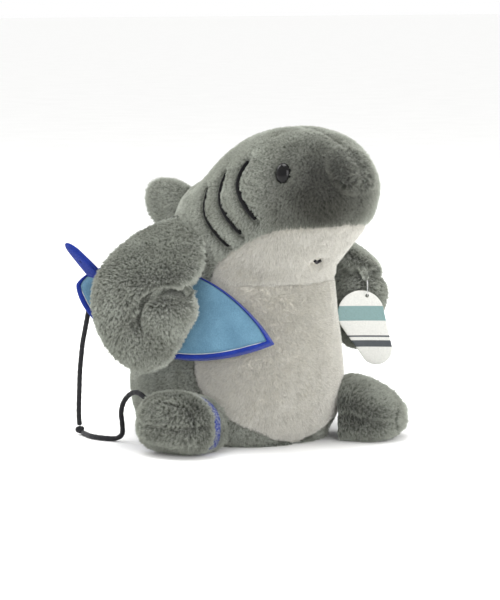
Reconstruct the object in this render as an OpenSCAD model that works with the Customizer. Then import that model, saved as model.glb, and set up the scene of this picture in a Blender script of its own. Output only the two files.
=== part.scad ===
// Seated plush shark holding a soft surfboard, with an ankle leash and a swing tag.
// X runs across the toy (its left is +X), it faces -Y, and Z is up. Millimetres.

/* [Fabric] */
// Thickness of the pile fabric
fabric_t = 3; // [2:0.5:4]
// Room between a fabric panel and the filling behind it
fit = 1.3; // [1:0.1:1.6]

/* [Body] */
// Width of the seated body at its widest
body_w = 170; // [160:1:174]
// Width of the head at the neck
head_w = 134; // [120:1:140]
// Share of the body's profile that the bead bag in the seat fills
bead_share = 0.15; // [0.15:0.05:0.35]

/* [Face] */
// Height of an eye
eye_h = 19; // [14:1:22]
// Width of an eye
eye_w = 15; // [12:1:18]
// Width of a gill slit where it is widest
slit_w = 6; // [4:0.5:9]

/* [Limbs] */
// Thickness of an arm
arm_t = 46; // [40:1:46]
// Width of a leg
leg_w = 72; // [60:1:76]
// Thickness of the dorsal fin
fin_t = 22; // [16:1:28]

/* [Surfboard] */
// Length of the board
board_l = 204; // [180:1:208]
// Width of the board
board_w = 80; // [70:1:84]
// Thickness of the board
board_t = 13; // [10:0.5:13]
// Thickness of a board face panel
face_t = 1.5; // [1:0.25:2]
// Width of the edging band, measured inwards
edging_w = 4; // [3:0.5:6]
// Thickness of the skeg
skeg_t = 6; // [4:0.5:8]

/* [Leash] */
// Diameter of the leash cord
cord_d = 4.6; // [4:0.2:5]
// Width of the ankle cuff
cuff_w = 13; // [10:1:15]

/* [Swing tag] */
// Thickness of the card
card_t = 0.8; // [0.6:0.1:1.2]
// Diameter of the nylon fastener's loop
loop_d = 14; // [12:1:18]

/* [Hidden] */

GREY = [0.42, 0.44, 0.40];
WHITE = [0.85, 0.83, 0.78];
LIGHT_BLUE = [0.42, 0.61, 0.72];
ROYAL_BLUE = [0.16, 0.22, 0.55];
BLACK = [0.05, 0.05, 0.05];
FILLING = [0.93, 0.93, 0.90];

// The toy's two sides, as the sign of X
RIGHT = -1;
LEFT = 1;

// ---- curves and grids ----

// Catmull-Rom curve through points, at t from 0 to 1. A point may have any number of values.
function spline_at(p, t) =
    let (n = len(p) - 1, s = min(t * n, n - 0.00001), i = floor(s), f = s - i,
         a = p[max(i - 1, 0)], b = p[i], c = p[i + 1], d = p[min(i + 2, n)])
    b + f * 0.5 * ((c - a) + f * ((2 * a - 5 * b + 4 * c - d) + f * (3 * (b - c) + d - a)));

function spline(p, from, to, steps) =
    [for (k = [0:steps]) spline_at(p, from + (to - from) * k / steps)];

// The same curve closed on itself, as a ring of points that starts at the first one.
function closed_spline(p, steps) =
    let (n = len(p), q = [for (k = [-1:n + 1]) p[(k + n) % n]])
    [for (k = [0:steps - 1]) spline_at(q, (1 + k * n / steps) / (n + 2))];

function flat(lists) = [for (part = lists) each part];
function total(values) = values * [for (v = values) 1];
function middle(ring) = [for (axis = [0:2]) total([for (p = ring) p[axis]]) / len(ring)];
function unit(v) = v / norm(v);

// A closed solid through rings of equal count, each end closed by a fan. Seen from beyond the last
// ring, the rings run clockwise.
module closed_loft(rings) {
    count = len(rings[0]);
    last = len(rings) - 1;
    end = (last + 1) * count;
    sides = flat([for (i = [0:last - 1], j = [0:count - 1])
        let (k = (j + 1) % count, a = i * count, b = a + count)
        [[a + j, a + k, b + k], [a + j, b + k, b + j]]]);
    ends = flat([for (j = [0:count - 1])
        let (k = (j + 1) % count, top = last * count)
        [[end, k, j], [end + 1, top + j, top + k]]]);
    polyhedron(concat(flat(rings), [middle(rings[0]), middle(rings[last])]), concat(sides, ends));
}

// A panel of fabric: the cells of a grid for which keep(row, column) is true, from the outer grid
// to the inner one. The columns close on themselves, and a last row of one point is a pole. Where
// two panels meet on a twisted seam, one of them is flipped, so that both split it the same way.
module panel(outer, inner, keep, flipped = false) {
    count = len(outer[0]);
    rows = len(outer) - 1;
    pole = len(outer[rows]) == 1;
    size = rows * count + (pole ? 1 : count);
    at = function (i, j) i * count + (pole && i == rows ? 0 : j % count);
    kept = function (i, j) i >= 0 && i < rows && keep(i, (j + count) % count);
    wall = function (p, q) flipped
        ? [[q, p, q + size], [p, p + size, q + size]]
        : [[q, p, p + size], [q, p + size, q + size]];
    faces = flat([for (i = [0:rows - 1], j = [0:count - 1]) if (kept(i, j))
        let (a = at(i, j), b = at(i + 1, j), c = at(i + 1, j + 1), d = at(i, j + 1), tip = b == c)
        concat(
            [[a, d, c], [a + size, c + size, d + size]],
            tip ? [] : [[a, c, b], [a + size, b + size, c + size]],
            kept(i - 1, j) ? [] : wall(a, d),
            kept(i, j + 1) ? [] : wall(d, c),
            tip || kept(i + 1, j) ? [] : wall(c, b),
            kept(i, j - 1) ? [] : wall(b, a))]);
    polyhedron(concat(flat(outer), flat(inner)), faces);
}

module on_side(side) mirror([side == LEFT ? 1 : 0, 0, 0]) children();

// ---- torso and head ----

// Sections from the seat up: front [y, z], back [y, z], and half width as a share of the whole.
TORSO = [
    [-80, 3.3, 94, 3.3, 0.43], [-94, 20, 106, 20, 0.485], [-102, 48, 112, 54, 0.5],
    [-104, 80, 108, 96, 0.475], [-102, 108, 97, 136, 0.44], [-99, 130, 78, 174, 0.415],
    [-95, 146, 50, 216, 0.395]];
HEAD = [
    [-97, 156, 36, 235, 0.5], [-107, 166, 22, 244, 0.5], [-119, 178, 0, 258, 0.495],
    [-132, 191, -26, 274, 0.485], [-145, 203, -55, 287, 0.46], [-156, 215, -87, 292, 0.395],
    [-165, 228, -120, 289, 0.305], [-171, 241, -148, 278, 0.185]];
NOSE = [0, -172, 260];
// How square a section is: 2 is an ellipse
SECTION_POWER = 2.2;
COLUMNS = 36;
TORSO_ROWS = 9;
HEAD_ROWS = 11;
FILL_COLUMNS = 24;
// The white panels cover this many columns on each side of the front
FRONT_COLUMNS = 7;
JAW_ROWS = 7;
// How far the filling's core in the neck stays inside the skin
NECK_INSET = 30;

// A point of a section at an angle from +X towards the back, moved in by inset.
function section_point(s, width, angle, inset) =
    let (front = [s[0], s[1]], back = [s[2], s[3]], mid = (front + back) / 2,
         half = norm(back - front) / 2, c = cos(angle), d = sin(angle),
         k = pow(pow(abs(c), SECTION_POWER) + pow(abs(d), SECTION_POWER), -1 / SECTION_POWER),
         q = mid + (back - mid) * (half - inset) / half * d * k)
    [(width * s[4] - inset) * c * k, q[0], q[1]];

// A ring that starts at the middle of the front and turns towards the toy's right.
function section_ring(s, width, inset, count) =
    [for (j = [0:count - 1]) section_point(s, width, 270 - 360 * j / count, inset)];

function rings_between(sections, width, inset, from, to, rows, count) =
    [for (s = spline(sections, from, to, rows)) section_ring(s, width, inset, count)];

function torso_rings(inset) = rings_between(TORSO, body_w, inset, 0, 1, TORSO_ROWS, COLUMNS);

function head_rings(inset) = concat(
    rings_between(HEAD, head_w, inset, 0, 1, HEAD_ROWS, COLUMNS),
    [[NOSE + inset * [0, 0.9, -0.4]]]);

function is_front(j) = j < FRONT_COLUMNS || j >= COLUMNS - FRONT_COLUMNS;
function is_right(j) = j < COLUMNS / 2;
// The jaw narrows towards the nose.
function is_jaw(i, j) =
    let (columns = FRONT_COLUMNS - 1 - floor(0.8 * i))
    i < JAW_ROWS && (j < columns || j >= COLUMNS - columns);

module torso_part(keep) panel(torso_rings(0), torso_rings(fabric_t), keep);
module head_part(keep) panel(head_rings(0), head_rings(fabric_t), keep);

module belly_panel() color(WHITE) torso_part(function (i, j) is_front(j));
module back_panel_right() color(GREY) torso_part(function (i, j) !is_front(j) && is_right(j));
module back_panel_left() color(GREY) torso_part(function (i, j) !is_front(j) && !is_right(j));
module jaw_panel() color(WHITE) head_part(function (i, j) is_jaw(i, j));
module head_panel_right() color(GREY) head_part(function (i, j) !is_jaw(i, j) && is_right(j));
module head_panel_left() color(GREY) head_part(function (i, j) !is_jaw(i, j) && !is_right(j));

module seat_panel() color(GREY)
    linear_extrude(fabric_t)
        polygon([for (p = section_ring(TORSO[0], body_w, 0, COLUMNS)) [p[0], p[1]]]);

module filling(sections, width, from, to, rows) color(FILLING)
    closed_loft(rings_between(sections, width, fabric_t + fit, from, to, rows, FILL_COLUMNS));

module seat_bead_bag() filling(TORSO, body_w, 0.015, bead_share, 3);
module torso_stuffing() filling(TORSO, body_w, bead_share + 0.01, 0.99, 6);
module head_stuffing() filling(HEAD, head_w, 0.01, 0.99, 9);

// The core of filling that runs through the neck between the two lots of stuffing
module neck_stuffing() color(FILLING)
    closed_loft([for (f = [0.2, 0.8])
        section_ring(TORSO[len(TORSO) - 1] * (1 - f) + HEAD[0] * f, head_w, NECK_INSET, FILL_COLUMNS)]);

// ---- face ----

EYE = [-50.7, -127, 255.2];
// Which way an eye looks: turned from +X about Z, and up from level
EYE_TURN = 200;
EYE_LIFT = 6;
EYE_STEM = 12;
STEM_D = 5;
WASHER_D = 15;

// Moves children to the right eye, with +Z looking out of it and +X up the head.
module at_eye(side)
    on_side(side)
        translate(EYE) rotate([0, 0, EYE_TURN]) rotate([0, 90 - EYE_LIFT, 0]) rotate([0, 0, 180])
            children();

EYE_RINGS = 7;
EYE_COLUMNS = 32;
// The dome's ellipsoid, as shares of the eye's width: its radius, and how far its middle lies behind
DOME_RADIUS = 0.6;
DOME_DEPTH = 0.35;
// Where the dome's last ring is, in degrees above the ellipsoid's middle
DOME_TOP = 86;

module eye_dome() {
    base = asin(DOME_DEPTH / DOME_RADIUS);
    closed_loft([for (i = [0:EYE_RINGS])
        let (rise = base + (DOME_TOP - base) * i / EYE_RINGS, reach = DOME_RADIUS * cos(rise),
             z = eye_w * (DOME_RADIUS * sin(rise) - DOME_DEPTH))
        [for (j = [0:EYE_COLUMNS - 1])
            let (around = 360 * j / EYE_COLUMNS)
            [eye_h * reach * cos(around), -eye_w * reach * sin(around), z]]]);
}

module eye(side) color(BLACK) at_eye(side) {
    eye_dome();
    translate([0, 0, -EYE_STEM]) cylinder(h = EYE_STEM + 1, d = STEM_D, $fn = 24);
}
module eye_right() eye(RIGHT);
module eye_left() eye(LEFT);

module eye_washer(side) color(FILLING) at_eye(side)
    translate([0, 0, -7])
        difference() {
            cylinder(h = 1.5, d = WASHER_D, $fn = 32);
            translate([0, 0, -1]) cylinder(h = 4, d = STEM_D, $fn = 24);
        }
module eye_washer_right() eye_washer(RIGHT);
module eye_washer_left() eye_washer(LEFT);

// The front gill slit's ends and middle, as [share of the head's profile, angle on the section]
GILL = [[0.597, 156], [0.478, 175], [0.428, 205.5]];
GILL_STEP = [-0.155, -1];
SLIT_ROWS = 8;
SLIT_RISE = 1.6;
// Half a slit's width becomes this share of the head's profile
SHARE_PER_MM = 0.0055;

module gill_slit(number) {
    track = spline([for (g = GILL) g + number * GILL_STEP], 0, 1, SLIT_ROWS);
    grid = function (rise) [for (k = [0:SLIT_ROWS])
        let (w = slit_w * (0.3 + 0.7 * sin(150 * k / SLIT_ROWS)) * SHARE_PER_MM / 2)
        [for (edge = [-1, 1])
            section_point(spline_at(HEAD, track[k][0] + edge * w), head_w, track[k][1], -rise)]];
    panel(grid(SLIT_RISE), grid(0.1), function (i, j) j == 0);
}
module gill_slits(side) color(BLACK) on_side(side) for (number = [0:2]) gill_slit(number);
module gill_slits_right() gill_slits(RIGHT);
module gill_slits_left() gill_slits(LEFT);

// A small V of thick thread in the dimple of the jaw, which slopes down and back here
STITCH_AT = [0, -112.9, 172.2];
JAW_SLOPE = 45;

module mouth_stitch() color(BLACK)
    translate(STITCH_AT) rotate([JAW_SLOPE, 0, 0])
        for (side = [RIGHT, LEFT])
            rotate([0, side * 62, 0]) cylinder(h = 5.5, r = 1.2, $fn = 16);

// ---- stuffed shapes cut from two flat panels: the arms and the dorsal fin ----

PILLOW_ROWS = 5;
PILLOW_COLUMNS = 26;

function reversed(list) = [for (k = [len(list) - 1:-1:0]) list[k]];
function no_bend(y) = 0;
function no_stop(p) = -1000;

// A pillow is [place, centre, outline, half thickness, bend, stop]. place is [origin, forward, up,
// out], the outline runs anticlockwise seen from the out side, and bend(y) moves its middle layer
// out. The pillow is pressed flat where stop(p) is further out than its inner face would be.
function pillow_point(pillow, q, share, shrink, half_t, face) =
    let (place = pillow[0], p = pillow[1] + (q - pillow[1]) * share * shrink,
         rise = half_t * pow(1 - pow(share, 2.6), 0.55), bend = pillow[4], stop = pillow[5],
         h = face * rise + bend(p[1]))
    place[0] + place[1] * p[0] + place[2] * p[1]
        + place[3] * (face < 0 ? max(h, stop(p) + pillow[3] - half_t) : h);

// Rings on one face of a pillow, from its seam towards its centre, moved in by inset.
function pillow_rings(pillow, face, inset, turned) =
    let (outline = closed_spline(pillow[2], PILLOW_COLUMNS),
         reach = total([for (q = outline) norm(q - pillow[1])]) / PILLOW_COLUMNS)
    [for (i = [0:PILLOW_ROWS - 1])
        [for (q = turned ? reversed(outline) : outline)
            pillow_point(pillow, q, cos(90 * i / PILLOW_ROWS), 1 - inset / reach, pillow[3] - inset, face)]];

module pillow_panel(pillow, face) {
    grid = function (inset) concat(
        pillow_rings(pillow, face, inset, face > 0),
        [[pillow_point(pillow, pillow[1], 0, 1, pillow[3] - inset, face)]]);
    panel(grid(0), grid(fabric_t), function (i, j) true, face > 0);
}

module pillow_filling(pillow) color(FILLING)
    closed_loft(concat(
        reversed(pillow_rings(pillow, -1, fabric_t + fit, true)),
        [for (i = [1:PILLOW_ROWS - 1]) pillow_rings(pillow, 1, fabric_t + fit, true)[i]]));

PAW = [[-42, -4], [-33, -27], [-16, -45], [5, -53], [27, -46], [43, -25]];
RIGHT_ARM_OUTLINE = concat([[58, 0], [52, 28], [42, 54], [26, 71.5], [4, 76.7], [-27, 62], [-41, 28]], PAW);
LEFT_ARM_OUTLINE = concat([[58, 0], [52, 28], [40, 48], [24, 60], [3, 64], [-25, 54], [-40, 27]], PAW);
ARM_FORWARD = [0.445, -0.895, 0];
ARM_OUT = [-0.895, -0.445, 0];
RIGHT_ARM_AT = [-132, -17, 130];
LEFT_ARM_AT = [-126.8, -15.9, 130];

// Above the elbow the arm leans in over the board to the shoulder.
RIGHT_ARM_LEAN = 0.023;
LEFT_ARM_LEAN = 0.0285;
function arm_bend(y, lean) = -lean * pow(max(0, y - 18), 2);
function arm(at, outline, lean, stop) = [[at, ARM_FORWARD, [0, 0, 1], ARM_OUT], [5, 2], outline, arm_t / 2,
    function (y) arm_bend(y, lean), stop];

// The board's outer face as the right arm meets it: how far out it lies at a point of the arm's
// middle layer. Below the board the arm is free, so the height is held at the board's lower edge,
// and above it the arm leans in over the top edge.
ARM_TO_BOARD_GAP = 0.6;
BOARD_FOOT = -50;
BOARD_HEAD = 44;
function turned(v, axis, angle) =
    let (c = cos(angle), d = sin(angle))
    axis == 0 ? [v[0], v[1] * c - v[2] * d, v[1] * d + v[2] * c]
    : axis == 1 ? [v[0] * c + v[2] * d, v[1], v[2] * c - v[0] * d]
    : [v[0] * c - v[1] * d, v[0] * d + v[1] * c, v[2]];
function board_normal() = turned(turned(turned([0, 0, 1], 0, 90 - BOARD_LEAN), 1, BOARD_DIP), 2, BOARD_TURN);
function board_stop(p) =
    p[1] > BOARD_HEAD ? no_stop(p) :
    let (n = board_normal(), face = BOARD_AT + n * (board_t / 2 + ARM_TO_BOARD_GAP))
    ((face - RIGHT_ARM_AT) * n - p[0] * ARM_FORWARD * n - max(p[1], BOARD_FOOT) * n[2]) / (ARM_OUT * n);
function right_arm() = arm(RIGHT_ARM_AT, RIGHT_ARM_OUTLINE, RIGHT_ARM_LEAN, function (p) board_stop(p));
function left_arm() = arm(LEFT_ARM_AT, LEFT_ARM_OUTLINE, LEFT_ARM_LEAN, function (p) no_stop(p));

module right_arm_outer_panel() color(GREY) pillow_panel(right_arm(), 1);
module right_arm_inner_panel() color(GREY) pillow_panel(right_arm(), -1);
module right_arm_stuffing() pillow_filling(right_arm());
module left_arm_outer_panel() color(GREY) on_side(LEFT) pillow_panel(left_arm(), 1);
module left_arm_inner_panel() color(GREY) on_side(LEFT) pillow_panel(left_arm(), -1);
module left_arm_stuffing() on_side(LEFT) pillow_filling(left_arm());

// Drawn from the middle of its base on the back, forward being away from the back
FIN_OUTLINE = [[64, -3], [41, 11], [18, 17], [-6.2, 16], [-6.4, -6], [-4.6, -31], [28, -35], [53, -34], [68, -20]];
FIN_AT = [0, 71, 200];
FIN = [[FIN_AT, [0, 0.86, 0.51], [0, -0.51, 0.86], [1, 0, 0]], [36, -6], FIN_OUTLINE, fin_t / 2,
    function (y) no_bend(y), function (p) no_stop(p)];

module fin_panel_right() color(GREY) pillow_panel(FIN, -1);
module fin_panel_left() color(GREY) pillow_panel(FIN, 1);
module fin_stuffing() pillow_filling(FIN);

// ---- legs ----

// A leg is [direction, sections, tip]. A section is [distance from the body's axis, share of the
// leg's width, underside, top], and the tip is [distance, height].
RIGHT_LEG = [[-0.895, -0.445, 0],
    [[94, 0.44, 2.2, 48], [105, 0.45, 2.2, 50], [119, 0.46, 2.2, 53], [135, 0.49, 4, 57],
        [147, 0.41, 10, 51]],
    [155, 30]];
LEFT_LEG = [[0.64, -0.768, 0],
    [[99.5, 0.45, 0, 56], [112, 0.48, 0, 56], [128, 0.48, 0, 50], [141, 0.44, 2, 42], [150, 0.32, 7, 33]],
    [155, 19]];
LEG_ROWS = 6;
LEG_COLUMNS = 26;
// The underside is squarer than the top
LEG_POWERS = [3.5, 2.2];

function leg_ring(leg, s, inset) =
    let (across = [-leg[0][1], leg[0][0], 0], z = (s[2] + s[3]) / 2)
    [for (j = [0:LEG_COLUMNS - 1])
        let (c = cos(360 * j / LEG_COLUMNS), d = -sin(360 * j / LEG_COLUMNS), n = LEG_POWERS[d < 0 ? 0 : 1],
             k = pow(pow(abs(c), n) + pow(abs(d), n), -1 / n))
        leg[0] * s[0] + across * (leg_w * s[1] - inset) * c * k
            + [0, 0, z + ((s[3] - s[2]) / 2 - inset) * d * k]];

function leg_rings(leg, inset, from, to, rows) =
    [for (s = spline(leg[1], from, to, rows)) leg_ring(leg, s, inset)];

function leg_tip(leg, inset) = leg[0] * (leg[2][0] - inset) + [0, 0, leg[2][1]];

module leg_panel(leg, keep) color(GREY)
    panel(concat(leg_rings(leg, 0, 0, 1, LEG_ROWS), [[leg_tip(leg, 0)]]),
        concat(leg_rings(leg, fabric_t, 0, 1, LEG_ROWS), [[leg_tip(leg, fabric_t)]]), keep);

function is_under(j) = j < LEG_COLUMNS / 2;

module leg_filling(leg) color(FILLING)
    closed_loft(leg_rings(leg, fabric_t + fit, 0.01, 0.98, LEG_ROWS));

module right_leg_upper_panel() leg_panel(RIGHT_LEG, function (i, j) !is_under(j));
module right_leg_lower_panel() leg_panel(RIGHT_LEG, function (i, j) is_under(j));
module right_leg_stuffing() leg_filling(RIGHT_LEG);
module left_leg_upper_panel() leg_panel(LEFT_LEG, function (i, j) !is_under(j));
module left_leg_lower_panel() leg_panel(LEFT_LEG, function (i, j) is_under(j));
module left_leg_stuffing() leg_filling(LEFT_LEG);

// ---- surfboard ----

BOARD_AT = [-97, -27, 123.5];
// The board is turned about Z, its nose dips, and its face leans back to look a little upwards
BOARD_TURN = -63.6;
BOARD_DIP = 12;
BOARD_LEAN = 18;
OUTLINE_STEPS = 22;

module at_board()
    translate(BOARD_AT) rotate([0, 0, BOARD_TURN]) rotate([0, BOARD_DIP, 0])
        rotate([90 - BOARD_LEAN, 0, 0]) children();

// Share of the board's half width at t, from -1 at the tail to 1 at the pointed nose
function board_share(t) = t > 0 ? pow(1 - pow(t, 1.85), 0.95) : pow(1 - pow(-t, 2.6), 0.7);

module board_outline(inset) {
    length = board_l - 3 * inset;
    width = board_w - 2 * inset;
    edge = [for (k = [1:OUTLINE_STEPS - 1]) let (t = cos(180 * k / OUTLINE_STEPS))
        [length / 2 * t, width / 2 * board_share(t)]];
    polygon(concat([[length / 2, 0]], edge, [[-length / 2, 0]], [for (p = reversed(edge)) [p[0], -p[1]]]));
}

module board_layer(from, to) at_board()
    translate([0, 0, from]) linear_extrude(to - from) board_outline(edging_w);

module board_outer_face() color(LIGHT_BLUE) board_layer(board_t / 2 - face_t, board_t / 2);
module board_inner_face() color(ROYAL_BLUE) board_layer(-board_t / 2, face_t - board_t / 2);
module board_foam_core() color(FILLING) board_layer(face_t - board_t / 2, board_t / 2 - face_t);

module board_edging() color(ROYAL_BLUE) at_board()
    translate([0, 0, -board_t / 2])
        linear_extrude(board_t) difference() {
            board_outline(0);
            board_outline(edging_w);
        }

// The skeg stands on the outer face near the tail, swept back, and it leans up the board.
SKEG_OUTLINE = [[10, 0], [4, 14], [-6, 30], [-16, 44], [-24, 46], [-26, 38], [-20, 20], [-12, 0]];
SKEG_AT = [-78, 10];
SKEG_LEAN = 26;
SKEG_GAP = 0.9;

module board_skeg() color(ROYAL_BLUE) at_board()
    translate([SKEG_AT[0], SKEG_AT[1], board_t / 2 + SKEG_GAP + skeg_t / 2 * sin(SKEG_LEAN)])
        rotate([90 - SKEG_LEAN, 0, 0])
            linear_extrude(skeg_t, center = true) polygon(concat(
                [SKEG_OUTLINE[len(SKEG_OUTLINE) - 1], SKEG_OUTLINE[0]],
                [for (k = [1:16]) spline_at(SKEG_OUTLINE, k / 17)]));

// ---- leash ----

// From the board's tail down to the floor, and from the knot along the floor up to the ankle
LEASH_UPPER = [[-140.3, 47.3, 123.7], [-140.5, 50, 114], [-139.5, 55, 103], [-138, 61, 91],
    [-137, 65, 78], [-136, 69, 62], [-134, 73, 46], [-132, 77, 30], [-130, 80, 18], [-128, 82, 10]];
LEASH_LOWER = [[-128, 76, 2.6], [-130, 68, 2.6], [-132, 58, 2.6], [-131, 48, 2.6], [-127, 38, 2.6],
    [-122, 30, 3.2], [-119, 25, 8], [-119, 25, 18], [-120, 25, 28], [-120, 21, 38], [-119, 13, 46],
    [-119, 3, 49.5], [-119, -7, 48], [-118.4, -16, 43], [-116.7, -23.6, 39.8]];
KNOT_AT = [-128, 81, 4.6];
KNOT_D = 9;
CORD_SIDES = 8;
RING_SPACING = 2.2;

// A tube of cord_d along a route. across keeps each ring from twisting.
module cord(route, across) color(BLACK) {
    length = total([for (k = [1:len(route) - 1]) norm(route[k] - route[k - 1])]);
    steps = round(length / (RING_SPACING * cord_d));
    path = spline(route, 0, 1, steps);
    closed_loft([for (k = [0:steps])
        let (along = unit(path[min(k + 1, steps)] - path[max(k - 1, 0)]),
             side = unit(cross(along, across)), up = cross(along, side))
        [for (j = [0:CORD_SIDES - 1])
            path[k] + cord_d / 2 * (side * cos(360 * j / CORD_SIDES) - up * sin(360 * j / CORD_SIDES))]]);
}
module leash_upper() cord(LEASH_UPPER, [1, 0, 0]);
module leash_lower() cord(LEASH_LOWER, [1, 0.2, 0]);
module leash_knot() color(BLACK) translate(KNOT_AT) sphere(d = KNOT_D, $fn = 32);

CUFF_RISE = 1.8;
// The cuff's near edge, as a share of the leg's sections
CUFF_FROM = 0.36;
LEG_SHARE_PER_MM = 0.0175;

module ankle_cuff() color(ROYAL_BLUE)
    panel(
        leg_rings(RIGHT_LEG, -CUFF_RISE, CUFF_FROM, CUFF_FROM + cuff_w * LEG_SHARE_PER_MM, 2),
        leg_rings(RIGHT_LEG, -0.1, CUFF_FROM, CUFF_FROM + cuff_w * LEG_SHARE_PER_MM, 2),
        function (i, j) true);

// ---- swing tag ----

// Where the nylon loop goes through the left arm's front seam
TAG_SEAM = [101, -66, 140];
// The loop and the card's normal lie along this direction from the seam
TAG_TURN = 232;
WIRE_D = 1;
HOLE_D = 3.4;

module at_loop() translate(TAG_SEAM) rotate([0, 0, TAG_TURN]) translate([loop_d / 2 - 1, 0, -3]) children();

module tag_fastener() color(FILLING)
    at_loop() rotate([90, 0, 0])
        rotate_extrude($fn = 48) translate([loop_d / 2, 0]) circle(d = WIRE_D, $fn = 16);

// The card is drawn as it hangs, with its hole at the origin.
module tag_card() color(WHITE)
    at_loop() translate([0, 0, -loop_d / 2]) rotate([90, 0, 90])
        linear_extrude(card_t, center = true) difference() {
            hull() {
                translate([-6, -17]) circle(r = 22, $fn = 64);
                translate([9, -51]) circle(r = 15, $fn = 64);
            }
            circle(d = HOLE_D, $fn = 24);
        }

belly_panel();
back_panel_right();
back_panel_left();
seat_panel();
torso_stuffing();
seat_bead_bag();
neck_stuffing();
head_panel_right();
head_panel_left();
jaw_panel();
head_stuffing();
eye_right();
eye_left();
eye_washer_right();
eye_washer_left();
gill_slits_right();
gill_slits_left();
mouth_stitch();
fin_panel_right();
fin_panel_left();
fin_stuffing();
right_arm_outer_panel();
right_arm_inner_panel();
right_arm_stuffing();
left_arm_outer_panel();
left_arm_inner_panel();
left_arm_stuffing();
right_leg_upper_panel();
right_leg_lower_panel();
right_leg_stuffing();
left_leg_upper_panel();
left_leg_lower_panel();
left_leg_stuffing();
board_outer_face();
board_inner_face();
board_foam_core();
board_edging();
board_skeg();
leash_upper();
leash_knot();
leash_lower();
ankle_cuff();
tag_card();
tag_fastener();
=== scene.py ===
import math

import bpy
import numpy as np
from mathutils import Matrix, Vector
from mathutils.kdtree import KDTree


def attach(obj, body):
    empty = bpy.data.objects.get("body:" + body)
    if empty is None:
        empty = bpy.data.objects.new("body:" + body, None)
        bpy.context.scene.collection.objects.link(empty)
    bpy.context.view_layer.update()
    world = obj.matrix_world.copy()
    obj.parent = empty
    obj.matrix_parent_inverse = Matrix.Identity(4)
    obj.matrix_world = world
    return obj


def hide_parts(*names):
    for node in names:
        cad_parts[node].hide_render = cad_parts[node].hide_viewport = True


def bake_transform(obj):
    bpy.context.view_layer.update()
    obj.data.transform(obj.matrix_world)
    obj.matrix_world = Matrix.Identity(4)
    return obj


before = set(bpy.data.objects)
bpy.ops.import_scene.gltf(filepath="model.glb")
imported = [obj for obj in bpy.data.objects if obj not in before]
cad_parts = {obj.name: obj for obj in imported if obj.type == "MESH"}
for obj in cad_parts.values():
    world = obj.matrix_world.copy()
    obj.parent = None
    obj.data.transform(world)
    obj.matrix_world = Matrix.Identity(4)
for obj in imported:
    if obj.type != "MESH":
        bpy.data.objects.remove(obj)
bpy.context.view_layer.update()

# The look of the seated plush shark: pile fabric over stuffed shapes, a felt board, a cord and a tag.
# Shapes come from the same sections and outlines as the part's source, in millimetres times MM.
MM = 0.001

# ---- camera ----

CAMERA_AZIMUTH = math.radians(-38)
CAMERA_ELEVATION = math.radians(7)
CAMERA_DISTANCE = 2.4
CAMERA_LENS = 151.6
# How far the camera's aim lies from the middle of the seat, to the right and up in its own axes
AIM_RIGHT = 0.0095
AIM_UP = 0.1254


def make_camera():
    a, e = CAMERA_AZIMUTH, CAMERA_ELEVATION
    back = Vector((math.sin(a) * math.cos(e), -math.cos(a) * math.cos(e), math.sin(e)))
    right = Vector((math.cos(a), math.sin(a), 0))
    up = back.cross(right)
    data = bpy.data.cameras.new("camera")
    data.lens = CAMERA_LENS
    camera = bpy.data.objects.new("camera", data)
    bpy.context.scene.collection.objects.link(camera)
    camera.location = right * AIM_RIGHT + up * AIM_UP + back * CAMERA_DISTANCE
    camera.rotation_euler = (-back).to_track_quat("-Z", "Y").to_euler()
    bpy.context.scene.camera = camera


# ---- curves and grids ----

def spline_at(points, t):
    """Catmull-Rom curve through points at each t from 0 to 1."""
    p = np.asarray(points, float)
    n = len(p) - 1
    s = np.clip(np.atleast_1d(t) * n, 0, n - 1e-5)
    i = s.astype(int)
    f = (s - i)[:, None]
    a, b, c, d = p[np.maximum(i - 1, 0)], p[i], p[i + 1], p[np.minimum(i + 2, n)]
    return b + f * 0.5 * ((c - a) + f * ((2 * a - 5 * b + 4 * c - d) + f * (3 * (b - c) + d - a)))


def closed_spline(points, count):
    p = np.asarray(points, float)
    n = len(p)
    return spline_at(p[np.arange(-1, n + 2) % n], (1 + np.arange(count) * n / count) / (n + 2))


def bump(distance, width):
    """1 at distance 0, falling smoothly to nothing over a few widths."""
    return np.exp(-(distance / width) ** 2)


WAVE_OCTAVES = 3
WAVES_PER_OCTAVE = 7


def waves(points, scale, seed):
    """Smooth noise between about -1 and 1 from a few random sine waves, the same on every run."""
    random = np.random.default_rng(seed)
    total = np.zeros(len(points))
    for octave in range(WAVE_OCTAVES):
        for _ in range(WAVES_PER_OCTAVE):
            direction = random.normal(size=3)
            direction *= 2 * math.pi * 1.8 ** octave / scale / np.linalg.norm(direction)
            total += np.sin(points @ direction + random.uniform(0, 6.28)) / 1.6 ** octave
    return total / 6


def rounded_end(last, tip, count):
    """Rings that close a shape from its last ring to its tip, as a dome does."""
    middle = last.mean(0)
    rings = []
    for k in range(1, count + 1):
        turn = math.radians(89.9) * k / count
        rings.append(middle + (last - middle) * math.cos(turn) + (tip - middle) * math.sin(turn))
    return rings


def grid_faces(rows, columns):
    """Faces of a grid whose columns close on themselves."""
    i, j = np.meshgrid(np.arange(rows - 1), np.arange(columns), indexing="ij")
    k = (j + 1) % columns
    return np.stack([i * columns + j, i * columns + k, (i + 1) * columns + k, (i + 1) * columns + j],
                    -1).reshape(-1, 4)


def vertex_normals(points, faces):
    a, b, c, d = (points[faces[:, k]] for k in range(4))
    face = np.cross(c - a, d - b)
    normals = np.zeros_like(points)
    for k in range(4):
        np.add.at(normals, faces[:, k], face)
    return normals / np.maximum(np.linalg.norm(normals, axis=1, keepdims=True), 1e-12)


def outward(points, faces):
    """The faces, turned so that they look away from the middle."""
    normals = vertex_normals(points, faces)
    if np.sum(normals * (points - points.mean(0))) < 0:
        return faces[:, ::-1]
    return faces


def nearest_distance(points, targets):
    """How far each point is from the nearest of the targets."""
    tree = KDTree(len(targets))
    for k, target in enumerate(targets):
        tree.insert(target, k)
    tree.balance()
    return np.array([tree.find(p)[2] for p in points])


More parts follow.
